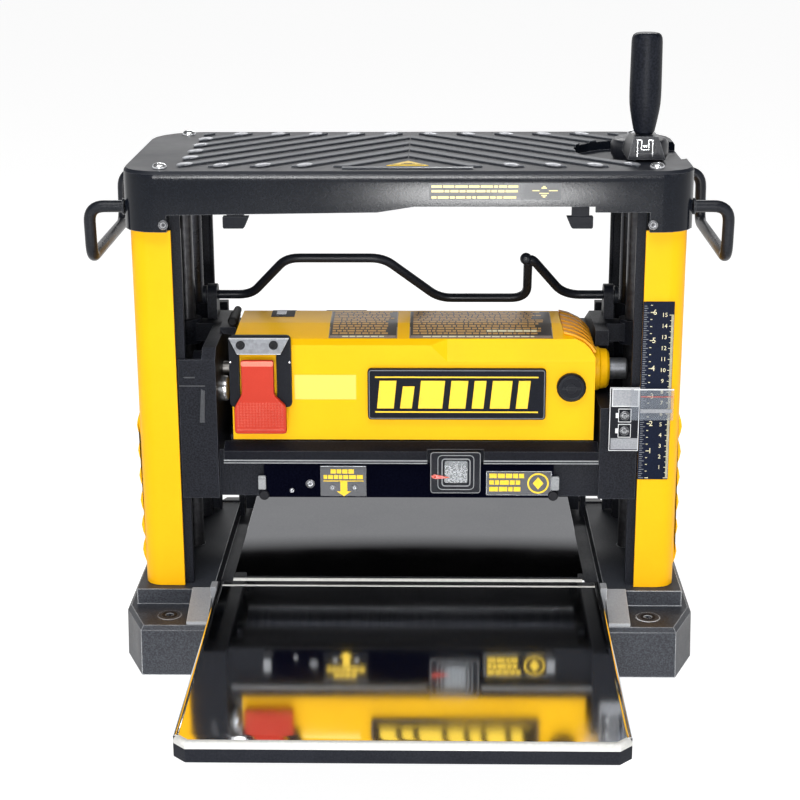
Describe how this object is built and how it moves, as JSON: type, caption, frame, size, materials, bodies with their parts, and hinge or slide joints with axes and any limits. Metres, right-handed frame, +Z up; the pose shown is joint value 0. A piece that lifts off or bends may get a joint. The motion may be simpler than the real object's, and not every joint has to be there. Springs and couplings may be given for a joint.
{
  "type": "thickness planer",
  "caption": "Portable thickness planer with a height crank, a lifting motor head, folding infeed and outfeed tables and a ribbed top cover on side columns.",
  "frame": {"origin": "on the ground under the middle of the machine", "axes": "+X to the operator's right, +Y from the infeed side to the outfeed side, +Z up"},
  "size_m": [0.567, 0.851, 0.555],
  "materials": {
    "base_black": "die-cast aluminium under a fine textured powder coat, dark blue-black",
    "head_black": "die-cast aluminium under satin black powder coat",
    "frame_black": "satin black powder coat",
    "cover_black": "die-cast aluminium, gloss black, textured on the ribbed top",
    "crank_black": "gloss black",
    "black_plastic": "black moulded plastic",
    "grip_plastic": "black moulded grip, semi-gloss",
    "yellow_panel": "bright yellow moulded panel, fine texture",
    "yellow_cover": "bright yellow moulded housing",
    "table_steel": "mirror-polished top, darker sides",
    "bed_steel": "polished stainless",
    "post_steel": "ground steel bar",
    "lift_steel": "oiled machined steel",
    "bracket_steel": "zinc-plated steel",
    "cutter_metal": "machined",
    "knife_steel": "ground blade steel",
    "roller_rubber": "black rubber",
    "motor_iron": "laminated steel",
    "winding_copper": "varnished copper windings on laminations",
    "red_plastic": "red moulded plastic",
    "sign_black": "black plate with a yellow border and plain bars, no lettering",
    "scale_navy": "dark printed rule with cream figures",
    "clear_plastic": "clear acrylic"
  },
  "bodies": {
    "frame": {"base_casting": "base_black", "bed_plate": "bed_steel", "carry_handle_left": "frame_black", "carry_handle_right": "frame_black", "depth_scale": "scale_navy", "guide_post_front_left": "post_steel", "guide_post_front_right": "post_steel", "guide_post_rear_left": "post_steel", "guide_post_rear_right": "post_steel", "hinge_bracket_front_left": "bracket_steel", "hinge_bracket_front_right": "bracket_steel", "hinge_bracket_rear_left": "bracket_steel", "hinge_bracket_rear_right": "bracket_steel", "inner_frame_left": "frame_black", "inner_frame_right": "frame_black", "lift_chain": "lift_steel", "side_panel_left": "yellow_panel", "side_panel_right": "yellow_panel", "table_catch_left": "black_plastic", "table_catch_right": "black_plastic", "top_cover": "cover_black"},
    "crank": {"crank_arm": "crank_black", "elevation_screw_right": "lift_steel", "lift_sprocket_right": "lift_steel", "grip_pin": "lift_steel"},
    "crank_grip": {"crank_grip": "grip_plastic"},
    "left_screw": {"elevation_screw_left": "lift_steel", "lift_sprocket_left": "lift_steel"},
    "infeed_table": {"infeed_table": "table_steel"},
    "outfeed_table": {"outfeed_table": "table_steel"},
    "lock_bar": {"lock_bar": "frame_black"},
    "cutterhead": {"cutterhead": "cutter_metal", "planer_knife_a": "knife_steel", "planer_knife_b": "knife_steel", "cutter_pulley": "cutter_metal"},
    "armature": {"motor_armature": "motor_iron"},
    "infeed_roller": {"infeed_roller": "roller_rubber"},
    "outfeed_roller": {"outfeed_roller": "roller_rubber"},
    "switch_paddle": {"switch_paddle": "red_plastic"},
    "gauge_pointer": {"gauge_pointer": "red_plastic"},
    "head": {"head_casting": "head_black", "motor_cover": "yellow_cover", "motor_end_cap": "yellow_cover", "motor_bearing_cap": "bracket_steel", "motor_stator": "winding_copper", "belt_cover": "frame_black", "chip_chute": "frame_black", "cable_gland": "black_plastic", "name_plate": "sign_black", "brush_cap": "black_plastic", "front_lip": "bracket_steel", "front_apron": "frame_black", "gauge_frame": "black_plastic", "gauge_window": "clear_plastic", "switch_plate": "black_plastic", "switch_bracket": "bracket_steel", "pointer_bracket": "black_plastic", "pointer_lens": "clear_plastic", "drive_belt": "roller_rubber"}
  },
  "joints": [
    {"name": "crank_turn", "type": "hinge", "parent": "frame", "child": "crank", "pos_m": [0.2085, 0, 0.4475], "axis": [0, 0, 1], "range_deg": [-17281, 16601]},
    {"name": "left_screw_turn", "type": "hinge", "parent": "frame", "child": "left_screw", "pos_m": [-0.2085, 0, 0.05], "axis": [0, 0, 1], "range_deg": [-17281, 16601]},
    {"name": "head_lift", "type": "slide", "parent": "frame", "child": "head", "axis": [0, 0, 1], "range_m": [-0.0732, 0.0762]},
    {"name": "crank_grip_spin", "type": "hinge", "parent": "crank", "child": "crank_grip", "pos_m": [0.2056, -0.056, 0.4675], "axis": [0, 0, 1], "continuous": true},
    {"name": "infeed_table_fold", "type": "hinge", "parent": "frame", "child": "infeed_table", "pos_m": [0, -0.1215, 0.064], "axis": [-1, 0, 0], "range_deg": [0, 90]},
    {"name": "outfeed_table_fold", "type": "hinge", "parent": "frame", "child": "outfeed_table", "pos_m": [0, 0.1215, 0.064], "axis": [1, 0, 0], "range_deg": [0, 90]},
    {"name": "head_lock", "type": "hinge", "parent": "head", "child": "lock_bar", "pos_m": [0, 0.02, 0.3055], "axis": [-1, 0, 0], "range_deg": [0, 12]},
    {"name": "cutterhead_spin", "type": "hinge", "parent": "head", "child": "cutterhead", "pos_m": [0, 0, 0.1716], "axis": [1, 0, 0], "continuous": true},
    {"name": "armature_spin", "type": "hinge", "parent": "head", "child": "armature", "pos_m": [0, -0.045, 0.252], "axis": [1, 0, 0], "continuous": true},
    {"name": "infeed_roller_spin", "type": "hinge", "parent": "head", "child": "infeed_roller", "pos_m": [0, -0.055, 0.1616], "axis": [1, 0, 0], "continuous": true},
    {"name": "outfeed_roller_spin", "type": "hinge", "parent": "head", "child": "outfeed_roller", "pos_m": [0, 0.055, 0.1616], "axis": [1, 0, 0], "continuous": true},
    {"name": "switch_lift", "type": "hinge", "parent": "head", "child": "switch_paddle", "pos_m": [-0.1335, -0.101, 0.272], "axis": [-1, 0, 0], "range_deg": [0, 6]},
    {"name": "removal_gauge", "type": "hinge", "parent": "head", "child": "gauge_pointer", "pos_m": [0.0235, -0.1068, 0.1682], "axis": [0, -1, 0], "range_deg": [0, 20]}
  ],
  "couplings": [
    {"joint": "crank_turn", "follows": "head_lift", "rad_per_m": -3957.9},
    {"joint": "left_screw_turn", "follows": "head_lift", "rad_per_m": -3957.9},
    {"joint": "armature_spin", "follows": "cutterhead_spin", "ratio": 2},
    {"joint": "infeed_roller_spin", "follows": "cutterhead_spin", "ratio": -0.00787},
    {"joint": "outfeed_roller_spin", "follows": "cutterhead_spin", "ratio": -0.00787}
  ]
}
